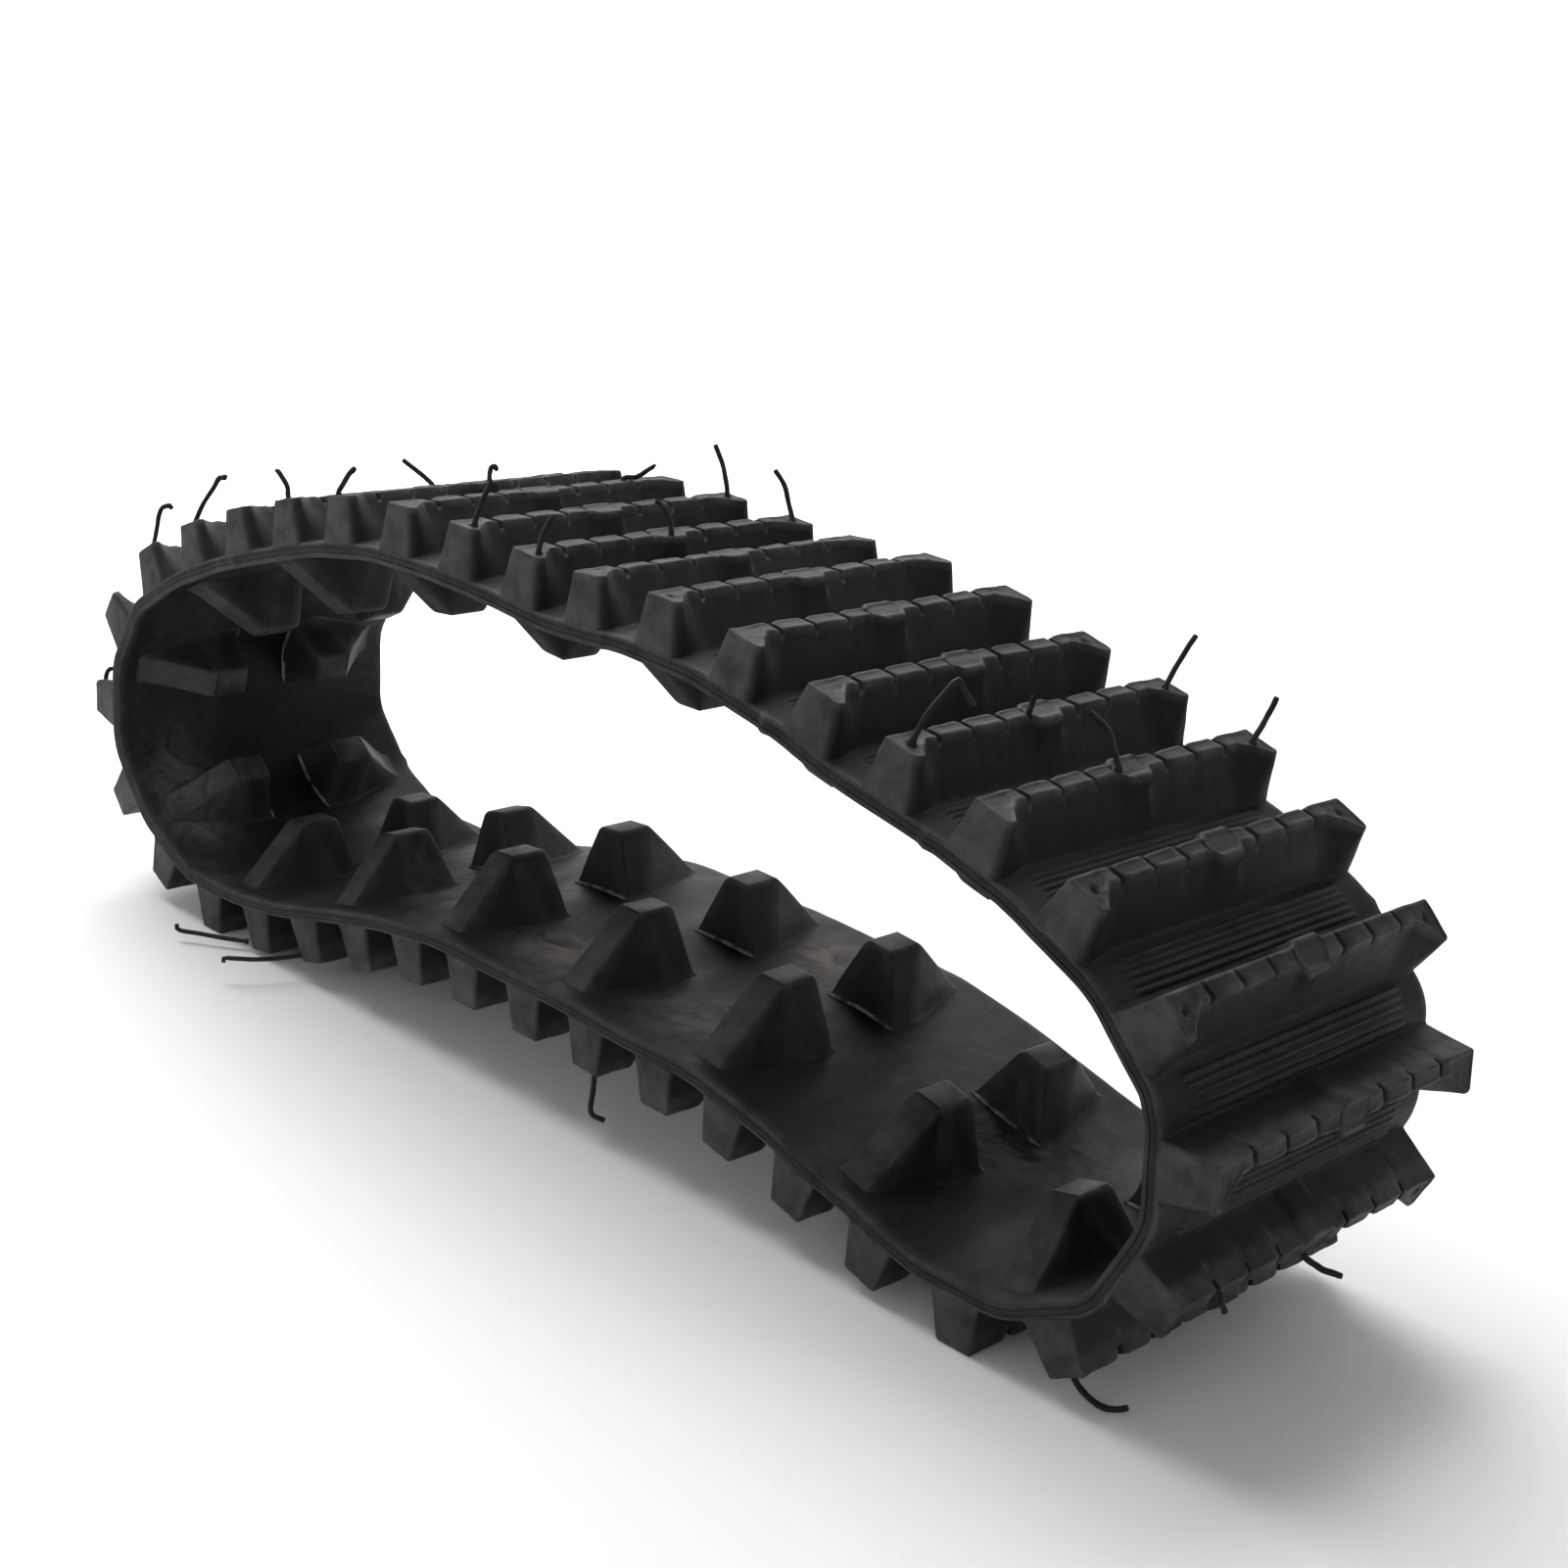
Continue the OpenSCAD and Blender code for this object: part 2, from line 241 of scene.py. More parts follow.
# ---------------------------------------------------------------- materials
def rubber(name, dark, light, dust, dust_amount, rough, grain, big=9.0, dust_scale=7.0, spec=0.13, flow=0.0):
    m = bpy.data.materials.new(name)
    m.use_nodes = True
    nt = m.node_tree
    b = nt.nodes["Principled BSDF"]
    b.inputs["Specular IOR Level"].default_value = spec
    b.inputs["IOR"].default_value = 1.5

    def node(kind, **kw):
        n = nt.nodes.new(kind)
        for a, v in kw.items():
            setattr(n, a, v)
        return n
    co = node("ShaderNodeAttribute", attribute_name="rest_co")
    co.attribute_type = "GEOMETRY"
    wear_and_highlight = node("ShaderNodeAttribute", attribute_name="wear_and_highlight")

    def noise(scale, detail, rough_, dist=0.0, stretch=None):
        n = node("ShaderNodeTexNoise")
        n.inputs["Scale"].default_value = scale
        n.inputs["Detail"].default_value = detail
        n.inputs["Roughness"].default_value = rough_
        n.inputs["Distortion"].default_value = dist
        if stretch:
            mp = node("ShaderNodeMapping")
            mp.inputs["Scale"].default_value = stretch
            nt.links.new(co.outputs["Vector"], mp.inputs["Vector"])
            nt.links.new(mp.outputs["Vector"], n.inputs["Vector"])
        else:
            nt.links.new(co.outputs["Vector"], n.inputs["Vector"])
        return n

    def ramp(src, lo, hi, a=(0, 0, 0, 1), c=(1, 1, 1, 1)):
        r = node("ShaderNodeValToRGB")
        r.color_ramp.elements[0].position = lo
        r.color_ramp.elements[1].position = hi
        r.color_ramp.elements[0].color = a
        r.color_ramp.elements[1].color = c
        nt.links.new(src, r.inputs["Fac"])
        return r

    def mix(fac, a, c):
        x = node("ShaderNodeMix", data_type="RGBA")
        if isinstance(fac, float):
            x.inputs[0].default_value = fac
        else:
            nt.links.new(fac, x.inputs[0])
        for s, v in ((6, a), (7, c)):
            if isinstance(v, tuple):
                x.inputs[s].default_value = v
            else:
                nt.links.new(v, x.inputs[s])
        return x

    def mul(a, k):
        x = node("ShaderNodeMath", operation="MULTIPLY")
        nt.links.new(a, x.inputs[0])
        if isinstance(k, float):
            x.inputs[1].default_value = k
        else:
            nt.links.new(k, x.inputs[1])
        return x

    clouds = noise(big, 5, 0.62, 0.3)
    fine = noise(420.0, 3, 0.6)
    streak = noise(26.0, 4, 0.6, 0.8, (1.0, 0.25, 1.0))
    base = mix(ramp(clouds.outputs["Fac"], 0.32, 0.70).outputs["Color"], dark + (1,), light + (1,))
    sp = mix(mul(ramp(fine.outputs["Fac"], 0.52, 0.72).outputs["Color"], 0.12).outputs[0],
             base.outputs[2], tuple(min(1.0, 2.2 * c) for c in light) + (1,))
    d1 = noise(dust_scale, 6, 0.68, 0.5)
    d2 = noise(70.0, 5, 0.7, 0.2)
    dmask = mul(ramp(d1.outputs["Fac"], 0.50, 0.74).outputs["Color"],
                ramp(d2.outputs["Fac"], 0.30, 0.80).outputs["Color"])
    dmask = mul(dmask.outputs[0], dust_amount)
    local = node("ShaderNodeAttribute", attribute_name="dust")
    patch = mul(local.outputs["Fac"], ramp(noise(34.0, 6, 0.72, 1.2).outputs["Fac"], 0.36, 0.60).outputs["Color"])
    both = node("ShaderNodeMath", operation="MAXIMUM")
    nt.links.new(dmask.outputs[0], both.inputs[0])
    nt.links.new(patch.outputs[0], both.inputs[1])
    dmask = both
    col = mix(dmask.outputs[0], sp.outputs[2], dust + (1,))
    # edge wear and painted highlight: a high wear_and_highlight value lifts the colour to three times the light
    # tone (bar top edges and tops, lug corners, ends and rims)
    wear_highlight_mix = mul(wear_and_highlight.outputs["Fac"], ramp(noise(55.0, 4, 0.6).outputs["Fac"], 0.30, 0.62).outputs["Color"])
    wear_highlight_mix = mul(wear_highlight_mix.outputs[0], 0.80)
    col2 = mix(wear_highlight_mix.outputs[0], col.outputs[2], tuple(3.0 * c for c in light) + (1,))
    # painted highlight: wear_and_highlight values above 1.2 (only the lug flash strips) turn the colour pale grey,
    # a painted bright line
    flash_highlight = node("ShaderNodeMapRange")
    flash_highlight.inputs["From Min"].default_value = 1.2
    flash_highlight.inputs["From Max"].default_value = 2.0
    nt.links.new(wear_and_highlight.outputs["Fac"], flash_highlight.inputs["Value"])
    flash_highlight_mask = mul(flash_highlight.outputs["Result"], ramp(noise(90.0, 3, 0.6).outputs["Fac"], 0.38, 0.56).outputs["Color"])
    col3 = mix(flash_highlight_mask.outputs[0], col2.outputs[2], (0.24, 0.23, 0.22, 1))
    nt.links.new(col3.outputs[2], b.inputs["Base Color"])

    rr = node("ShaderNodeMapRange")
    rr.inputs["From Min"].default_value = 0.30
    rr.inputs["From Max"].default_value = 0.72
    rr.inputs["To Min"].default_value = rough[0]
    rr.inputs["To Max"].default_value = rough[1]
    nt.links.new(streak.outputs["Fac"], rr.inputs["Value"])
    ra = node("ShaderNodeMath", operation="ADD")
    nt.links.new(rr.outputs["Result"], ra.inputs[0])
    nt.links.new(mul(dmask.outputs[0], 0.35).outputs[0], ra.inputs[1])
    ra.use_clamp = True
    nt.links.new(ra.outputs[0], b.inputs["Roughness"])

    b1 = node("ShaderNodeBump")
    b1.inputs["Strength"].default_value = 0.5
    b1.inputs["Distance"].default_value = grain
    nt.links.new(noise(900.0, 4, 0.65).outputs["Fac"], b1.inputs["Height"])
    b3 = node("ShaderNodeBump")
    b3.inputs["Strength"].default_value = flow
    b3.inputs["Distance"].default_value = 0.0009
    nt.links.new(noise(120.0, 3, 0.55, 0.3, (1.0, 1.0, 0.12)).outputs["Fac"], b3.inputs["Height"])
    nt.links.new(b1.outputs["Normal"], b3.inputs["Normal"])
    b2 = node("ShaderNodeBump")
    b2.inputs["Strength"].default_value = 0.6
    b2.inputs["Distance"].default_value = 0.0016
    nt.links.new(noise(38.0, 5, 0.6, 0.4).outputs["Fac"], b2.inputs["Height"])
    nt.links.new(b3.outputs["Normal"], b2.inputs["Normal"])
    nt.links.new(b2.outputs["Normal"], b.inputs["Normal"])
    return m


TREAD = rubber("tread_rubber", (0.0135, 0.0135, 0.0138), (0.0230, 0.0227, 0.0226),
               (0.072, 0.069, 0.066), 0.34, (0.46, 0.64), 0.00022, flow=0.35)
BELT = rubber("belt_rubber", (0.0125, 0.0125, 0.0128), (0.0210, 0.0207, 0.0206),
              (0.068, 0.064, 0.060), 0.38, (0.48, 0.66), 0.00020)
INNER = rubber("inner_rubber", (0.0085, 0.0085, 0.0087), (0.0160, 0.0156, 0.0153),
               (0.155, 0.143, 0.134), 0.42, (0.42, 0.68), 0.00024, big=7.0, dust_scale=6.0)
LUG = rubber("lug_rubber", (0.0095, 0.0095, 0.0098), (0.0190, 0.0187, 0.0186),
             (0.080, 0.073, 0.067), 0.34, (0.40, 0.58), 0.00020)
HAIR = rubber("hair_rubber", (0.0100, 0.0100, 0.0102), (0.0170, 0.0170, 0.0170),
              (0.030, 0.028, 0.026), 0.20, (0.40, 0.55), 0.00010, big=60.0)


def strand(name, colour, colour2, metallic, rough, scale, twist):
    """Twisted steel wire, or pulled glass fibre, in object coordinates."""
    m = bpy.data.materials.new(name)
    m.use_nodes = True
    nt = m.node_tree
    b = nt.nodes["Principled BSDF"]
    b.inputs["Metallic"].default_value = metallic
    tc = nt.nodes.new("ShaderNodeTexCoord")
    mp = nt.nodes.new("ShaderNodeMapping")
    mp.inputs["Rotation"].default_value = twist
    nt.links.new(tc.outputs["Object"], mp.inputs["Vector"])
    wv = nt.nodes.new("ShaderNodeTexWave")
    wv.inputs["Scale"].default_value = scale
    wv.inputs["Distortion"].default_value = 1.2
    wv.inputs["Detail"].default_value = 2.0
    nt.links.new(mp.outputs["Vector"], wv.inputs["Vector"])
    ns = nt.nodes.new("ShaderNodeTexNoise")
    ns.inputs["Scale"].default_value = 160.0
    ns.inputs["Detail"].default_value = 5.0
    nt.links.new(tc.outputs["Object"], ns.inputs["Vector"])
    mx = nt.nodes.new("ShaderNodeMix")
    mx.data_type = "RGBA"
    mx.inputs[6].default_value = colour + (1,)
    mx.inputs[7].default_value = colour2 + (1,)
    nt.links.new(ns.outputs["Fac"], mx.inputs[0])
    nt.links.new(mx.outputs[2], b.inputs["Base Color"])
    mr = nt.nodes.new("ShaderNodeMapRange")
    mr.inputs["To Min"].default_value = rough[0]
    mr.inputs["To Max"].default_value = rough[1]
    nt.links.new(ns.outputs["Fac"], mr.inputs["Value"])
    nt.links.new(mr.outputs["Result"], b.inputs["Roughness"])
    bp = nt.nodes.new("ShaderNodeBump")
    bp.inputs["Strength"].default_value = 0.8
    bp.inputs["Distance"].default_value = 0.0003
    nt.links.new(wv.outputs["Fac"], bp.inputs["Height"])
    nt.links.new(bp.outputs["Normal"], b.inputs["Normal"])
    return m


CORD = strand("cord_steel", (0.50, 0.45, 0.36), (0.62, 0.60, 0.56), 1.0, (0.28, 0.50), 260.0, (0.0, 0.0, 0.7))
ROD = strand("rod_fibreglass", (0.62, 0.60, 0.36), (0.78, 0.76, 0.55), 0.0, (0.30, 0.48), 420.0, (0.0, 0.0, 1.5708))
for name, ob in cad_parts.items():
    if name.endswith("_tension_cords") or name.endswith("_cross_rods"):
        ob.data.materials.clear()
        ob.data.materials.append(CORD if name.endswith("_tension_cords") else ROD)

# ---------------------------------------------------------------- belt
# edge profile, from the parting plane outwards: (set-back from the edge, height), wear
EDGE_OUT = [(0.25, 0.8), (0.0, 1.0), (0.0, 1.7), (0.55, 2.0), (0.55, 2.35), (0.05, 2.65), (0.10, 3.9), (0.55, 4.65), (1.5, 5.0)]
EDGE_IN = [(0.25, 0.8), (0.0, 0.6), (0.05, -0.6), (0.5, -0.85), (0.5, -1.2), (-0.25, -1.5), (-0.25, -2.0), (0.1, -2.3), (0.1, -3.9), (0.6, -4.7), (1.7, -5.0)]
RIBS = [-8.4, -4.2, 0.0, 4.2, 8.4]

# slivers of flash left on the belt's edges: distance along the belt, reach, half length, mm
FLASH = {-1: [(1596.0, 2.6, 7.0), (1608.0, 1.6, 4.0), (1741.0, 2.4, 5.0), (1862.0, 1.8, 6.0), (1226.0, 1.6, 5.0), (2041.0, 1.2, 9.0)],
         1: [(320.0, 1.4, 6.0), (905.0, 1.8, 7.0), (1500.0, 1.5, 6.0), (1985.0, 1.6, 5.0)]}


def stations(k0, k1, gap_n):
    """Distances along the belt from k0 to k1, in pitches, dense over each flexing gap."""
    s = [k0 * PITCH, k1 * PITCH]
    for k in range(int(math.floor(k0)) - 1, int(math.ceil(k1)) + 2):
        c = k * PITCH
        s += [c + v for v in np.linspace(-ARC, ARC, gap_n)]
        s += [c + PITCH / 2 + v for v in (-12.0, -4.0, 4.0, 12.0)]
    s = np.array(sorted(s))
    s = s[(s > k0 * PITCH + 0.3) & (s < k1 * PITCH - 0.3)]
    return np.concatenate([[k0 * PITCH], s, [k1 * PITCH]])


def belt_rings(k0, k1, outer):
    s = stations(k0, k1, 43 if outer else 13)
    pt, nv = line_at(s)
    edge = EDGE_OUT if outer else EDGE_IN
    if outer:
        mid = [-110.0, -100.0, -93.5, -92.0, -90.5, -60.0, -25.0, 0.0, 25.0, 60.0, 90.5, 92.0, 93.5, 100.0, 110.0]
    else:
        mid = [-108.0, -96.0, -80.0, -62.0, -45.0, -30.0, -15.0, 0.0, 15.0, 30.0, 45.0, 62.0, 80.0, 96.0, 108.0]
    face = edge[-1][1]
    prof = [(-HALF_W + e, h, 1.0 if i >= len(edge) - 3 else 0.35, -1, 0) for i, (e, h) in enumerate(edge)]
    prof += [(y, face, 0.0, 0, 1) for y in mid]
    prof += [(HALF_W - e, h, 1.0 if i >= len(edge) - 3 else 0.35, 1, 0) for i, (e, h) in reversed(list(enumerate(edge)))]
    y = np.array([p[0] for p in prof])
    h = np.array([p[1] for p in prof])
    w = np.array([p[2] for p in prof])
    sd = np.array([p[3] for p in prof])
    isface = np.array([p[4] for p in prof], float)
    Y = np.tile(y, (len(s), 1))
    Hh = np.tile(h, (len(s), 1))
    W = np.tile(w, (len(s), 1))
    sm = s % (36 * PITCH)
    # the trimmed edge wanders a little, with a few nicks
    for side, seed in ((-1, 3), (1, 5)):
        wander = (0.45 * hash_noise(sm / 47.0, seed) + 0.30 * hash_noise(sm / 13.0, seed + 1)
                  - 0.9 * np.clip(hash_noise(sm / 21.0, seed + 2) - 0.55, 0, 1))
        for at, size, half in FLASH[side]:
            wander = wander + size * np.clip(1 - np.abs(sm - at) / half, 0, 1)
        Y += (sd == side)[None, :] * (side * wander)[:, None]
    if outer:
        u = (s + PITCH / 2) % PITCH - PITCH / 2
        ribs = np.zeros_like(s)
        for r in RIBS:
            ribs += np.clip(1 - ((u - r) / 1.65) ** 2, 0, 1) ** 0.7
        mask = smooth((93.0 - np.abs(y)) / 2.5)
        Hh += 1.35 * ribs[:, None] * (mask * isface)[None, :]
        W += 0.35 * ribs[:, None] * (mask * isface)[None, :]
    else:
        wob = noise2(np.tile(sm[:, None] / 34.0, (1, len(y))), np.tile(y[None, :] / 26.0, (len(s), 1)), 11)
        Hh -= 0.35 * (wob * 0.5 + 0.5) * isface[None, :] * -1
    X = pt[:, 0][:, None] + Hh * nv[:, 0][:, None]
    Z = pt[:, 1][:, None] + Hh * nv[:, 1][:, None]
    return np.stack([X, Y, Z], 2), np.clip(W, 0, 1)


SEGMENTS = [
    ("rear_heel", "lower_run", "rear_lower", 6.5, 14.5, 14),
    ("rear_loop", "rear_lower", "rear_upper", 14.5, 16.5, 16),
    ("rear_crown", "rear_upper", "crown_rear", 16.5, 20.5, 18),
    ("crown", "crown_rear", "crown_front", 20.5, 24.5, 22),
    ("crown_end", "crown_front", None, 24.5, 25.999, None),
    ("top_end", "top_run", None, 26.001, 28.5, None),
    ("top", "top_run", "front_slope", 28.5, 30.5, 30),
    ("slope", "front_slope", "nose_upper", 30.5, 32.5, 32),
    ("nose", "nose_upper", "nose_lower", 32.5, 34.5, 34),
    ("nose_heel", "nose_lower", "lower_run", 34.5, 42.5, 36),
]
for tag, a, b, k0, k1, kj in SEGMENTS:
    for outer in (True, False):
        sh = Shell()
        rings, wear_and_highlight = belt_rings(k0, k1, outer)
        sh.loft(rings, wear_and_highlight, flip=outer)
        kind = "outer_cover" if outer else "inner_cover"
        ob = sh.make(f"belt_{kind}_{tag}", BELT if outer else INNER, 50.0)
        if b is None:
            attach(ob, a)
        else:
            e, _ = line_at([kj * PITCH - ARC, kj * PITCH + ARC])
            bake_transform(ob)
        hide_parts(*[f"{n}_{kind}" for n in (a, b) if n])

# ---------------------------------------------------------------- tread bars
NOTCH = [33.75, 59.75, 85.75, 144.25, 170.25, 196.25]


def bar_stations():
    y = [0.0, 0.15, 0.45, 0.9, 1.5, 2.2, 3.0, 4.0, 5.0, 6.2, 7.6, 9.0, 10.2, 11.4, 12.6, 13.8, 15.2, 16.8, 18.6, 20.6, 22.2, 23.7, 25.2, 27.0, 29.0]
    y += [230 - v for v in y]
    for c in NOTCH:
        y += [c - 4.0, c - 3.0, c - 2.3, c - 1.9, c - 1.5, c - 0.7, c + 0.7, c + 1.5, c + 1.9, c + 2.3, c + 3.0, c + 4.0]
    y += [40, 45, 50, 66, 70, 75, 79, 92, 95, 98, 101, 103, 104.0, 104.8, 105.6, 106.6, 107.8, 109, 111, 115, 119, 123, 125.5,
          127, 128.2, 129.4, 130.8, 133, 136, 138.5, 151, 155, 160, 164, 177, 182, 187, 191]
    return np.array(sorted(set(y)))


BAR_Y = bar_stations()
TOPN = 12


def bar_profile(y, seed):
    """Outline (u, h) of a bar at y from its near end, with a wear_and_highlight value per point (edge wear and
    painted highlight).
    """
    m = min(y, 230 - y)
    bt, br = -12.0, -17.0
    # end boss: crisp slanted edge at the top, softer below
    boss = max(0.0, min(1.0, (23.7 - m) / (23.7 - 7.0)))
    soft = float(smooth((31.0 - m) / 24.0))
    # middle boss: main lobe bulges at the front and the back
    lobe = float(smooth((y - 104.6) / 4.6) * smooth((129.6 - y) / 4.6))
    lobe_s = float(smooth((y - 98.0) / 12.0) * smooth((136.0 - y) / 12.0))
    back = float(smooth((y - 106.0) / 3.5) * smooth((130.0 - y) / 3.5))
    ft = -4.0 + 16.0 * boss + 7.6 * lobe
    ku = 5.0 + 9.6 * soft + 1.6 * lobe_s
    fr = 14.0 + 3.0 * soft + 0.3 * lobe_s
    bt -= 4.0 * back
    br -= 1.8 * back
    H = TIP
    cut = pil = 0.0
    for i, c in enumerate(NOTCH):
        wd = 1.15 + 0.35 * math.sin(seed * 2.1 + i * 1.7)
        d = abs(y - c)
        cut = max(cut, float(smooth((wd + 0.6 - d) / 0.6)))
        pil = max(pil, float(smooth(1 - (d - wd - 0.6) / 3.4)) if d > wd + 0.6 else 1.0)
    H -= (4.6 + 0.6 * math.sin(seed * 1.3)) * cut + 0.9 * pil
    H -= 1.9 * max(0.0, 1 - abs(y - 104.6) / 1.3)
    H -= 0.4 * (0.5 + 0.5 * float(hash_noise(y / 9.0, seed)))
    bt_h = br + (bt - br) * (H - 5.0) / 30.0
    fh = ft + (ku - ft) * (TIP - H) / (TIP - 20.0)
    pad = (1.0 - pil) * (1.0 - min(1.0, 2.0 * boss)) * (1.0 - lobe)
    fh += 1.1 * pad
    bt_h -= 0.5 * pad
    # rounding of the bar's ends: tight at the top, wider at the front corner
    def rnd(r):
        return r - math.sqrt(max(0.0, r * r - (r - m) ** 2)) if m < r else 0.0
    H -= rnd(1.5)
    bt_h += rnd(2.2)
    br += rnd(2.2)
    fh -= rnd(4.2)
    ku_full = ku
    ku -= rnd(5.0)
    fr -= rnd(5.0)
    base = 5.05
    foot = 2.4 * min(1.0, 0.15 + m / 5.0)
    corners = [(br - foot, 4.3), (br - foot, base), (br, base), (bt_h, H), (fh, H), (ku, 20.0), (fr, base), (fr + foot, base), (fr + foot, 4.3)]
    r = 1.25 + 0.40 * float(hash_noise(y / 17.0 + 3.3, seed + 2)) + 1.3 * lobe
    pts = rounded(corners, [0, 0, 2.5, r, r, 6.0, 2.5, 0, 0], [1, 1, 4, 5, 5, 5, 4, 1, 1])
    # 0,1 | 2-5 root | 6-10 back top | 11-15 front top | 16-20 knee | 21-24 root | 25,26
    pts = insert(pts, 20, 1)
    pts = insert(pts, 15, 1)
    pts = insert(pts, 10, TOPN)
    pts = insert(pts, 5, 3)
    p = np.array(pts)
    # the face below the pads is flat
    f_ = 5 + 3 + 5 + 1 + TOPN + 5
    hf = min(29.4, p[f_ - 1, 1] - 0.9)
    if hf > p[f_ + 1, 1] + 0.5:
        p[f_] = (ft + (ku_full - ft) * (TIP - hf) / (TIP - 20.0) - (rnd(4.2) * (hf - 20) / 15 + rnd(5.0) * (35 - hf) / 15), hf)
    # sunk middle of each pad, inside a raised rim
    i0 = 5 + 3 + 5 + 1
    top = p[i0:i0 + TOPN]
    lo, hi = p[i0 - 1, 0], p[i0 + TOPN, 0]
    edge = np.minimum(top[:, 0] - lo, hi - top[:, 0])
    span = smooth(edge / 2.2)
    away = min(1.0, max(0.0, (m - 1.5) / 2.0)) * (1 - pil)
    deep = 0.85 if boss > 0.02 or lobe > 0.2 else 0.45
    top[:, 1] -= deep * span * away
    # top edges 1.0 and top faces 0.4: edge wear and a painted highlight on the lit tops
    w = np.zeros(len(p))
    w[i0 - 6:i0] = 1.0
    w[i0 + TOPN:i0 + TOPN + 5] = 1.0
    w[i0:i0 + TOPN] = 0.4
    return p, w


def tread_bar(k):
    rs = np.random.default_rng(100 + k)
    seed = 7 + k * 3
    rings, wear_and_highlight, own = [], [], []
    skew = 0.34
    pit = [k % 3 == 0 or k % 5 == 2, k % 4 == 1 or k % 3 == 2]
    lean = rs.uniform(-0.35, 0.35)
    for y in BAR_Y:
        uh, w = bar_profile(y, seed)
        u, h = uh[:, 0].copy(), uh[:, 1].copy()
        # small dimples where the bosses' vents were cut
        for j, yc in enumerate((11.5, 218.5)):
            if pit[j]:
                d2 = ((u + 1.5) / 3.0) ** 2 + ((y - yc) / 2.6) ** 2
                h -= np.where(h > 29, 3.8 * np.exp(-d2 * 1.5), 0)
            d2 = ((u - 1.0) / 2.2) ** 2 + ((y - yc - (3.5 if yc < 115 else -3.5)) / 2.2) ** 2
            h += np.where(h > 30, 1.1 * np.exp(-d2 * 1.3), 0)
        h = h + np.where(h > 12, 0.25 * noise2(u / 6.0, np.full_like(u, y / 11.0), seed), 0)
        u = u + np.where((h > 9) & (h < 31), 0.30 * noise2(h / 9.0, np.full_like(u, y / 16.0), seed + 4), 0)
        # slanted notches
        near = max(0.0, 1 - min(abs(y - c) for c in NOTCH) / 6.0)
        yy = y + smooth((h - 28.0) / 3.0) * skew * (u + 8) * near
        # end draft
        m = min(y, 230 - y)
        sgn = 1 if y < 115 else -1
        yy = yy + sgn * 3.0 * np.clip((h - 5) / 30, 0, 1) * max(0.0, 1 - m / 14.0)
        # the very end of the bar is lightened too: edge wear and painted highlight
        end_wear_and_highlight = 0.8 * max(0.0, 1 - m / 1.6)
        c = seat[k]
        hh = h + lean * np.clip((h - 5) / 30, 0, 1) * 0.3
        X = c[0] + u * T[k][0] + hh * N[k][0]
        Z = c[1] + u * T[k][1] + hh * N[k][1]
        rings.append(np.stack([X, yy - HALF_W, Z], 1))
        own.append(np.stack([u + 331.0 * k, yy, hh], 1))
        wear_and_highlight.append(np.clip(w + end_wear_and_highlight, 0, 1))
    sh = Shell()
    sh.local.append(np.concatenate(own))
    sh.loft(rings, wear_and_highlight, flip=False)
    ob = sh.make(f"tread_bar_{k:02d}", TREAD, 34.0)
    body = BODY_OF_BAR[k]
    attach(ob, body)
    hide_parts(f"{body}_tread_bars")
    return ob


for k in range(36):
    tread_bar(k)


# ---------------------------------------------------------------- drive lugs
def lug_outline(q, inset, flare):
    """Outline (u, y) of a lug at share q of its height."""
    w = 26.5 - 16.5 * q
    pts = [(-w, 25 + 6 * q), (w, 25 + 6 * q), (w, 46 + 12 * q), (10.0, 99 - 41 * q), (-10.0, 99 - 41 * q), (-w, 46 + 12 * q)]
    c = np.array(pts)
    # inset or flare each edge
    d = flare - inset
    n = len(c)
    out = []
    for i in range(n):
        a, p, b = c[i - 1], c[i], c[(i + 1) % n]
        e1, e2 = p - a, b - p
        l1, l2 = np.linalg.norm(e1), np.linalg.norm(e2)
        n1 = np.array([e1[1], -e1[0]]) / max(l1, 1e-9)
        n2 = np.array([e2[1], -e2[0]]) / max(l2, 1e-9)
        den = 1 + float(n1 @ n2)
        out.append(p + d * (n1 + n2) / max(den, 0.35))
    c = np.array(out)
    res = []
    for i in range(n):
        a, p, b = c[i - 1], c[i], c[(i + 1) % n]
        la, lb = np.linalg.norm(a - p), np.linalg.norm(b - p)
        rr = 3.5 if i in (2, 5) else 1.9
        s = p + (a - p) / la * min(rr, 0.45 * la)
        e = p + (b - p) / lb * min(rr, 0.45 * lb)
        for t in np.linspace(0, 1, 4):
            res.append((1 - t) ** 2 * s + 2 * t * (1 - t) * p + t * t * e)
        for t in (0.33, 0.67):
            nx = c[(i + 1) % n]
            res.append(e + (nx + (p - nx) / lb * min(rr, 0.45 * lb) - e) * t)
    return np.array(res)


LUG_SLICES = [(-0.8, 0.0, 1.9), (0.05, 0.0, 1.6), (0.6, 0.0, 0.75), (1.6, 0.0, 0.2), (4.0, 0, 0), (10, 0, 0), (18, 0, 0), (26, 0, 0),
              (33, 0, 0), (37.0, 0.05, 0), (38.6, 0.45, 0), (39.5, 1.1, 0), (39.9, 2.1, 0)]


def belt_drop(k, u):
    """How far the belt's inner face near flex point k is from the chord frame, at u along it."""
    th = math.radians(turn[k % 36])
    pt, nv = line_at(np.full_like(u, k * PITCH) + u)
    inner = pt - 5.0 * nv
    mean = H_[(k - 1) % 36] + th / 2
    t = np.array([math.cos(mean), math.sin(mean)])
    n = np.array([-math.sin(mean), math.cos(mean)])
    rel = inner - P[k % 36]
    return rel @ n, rel @ t


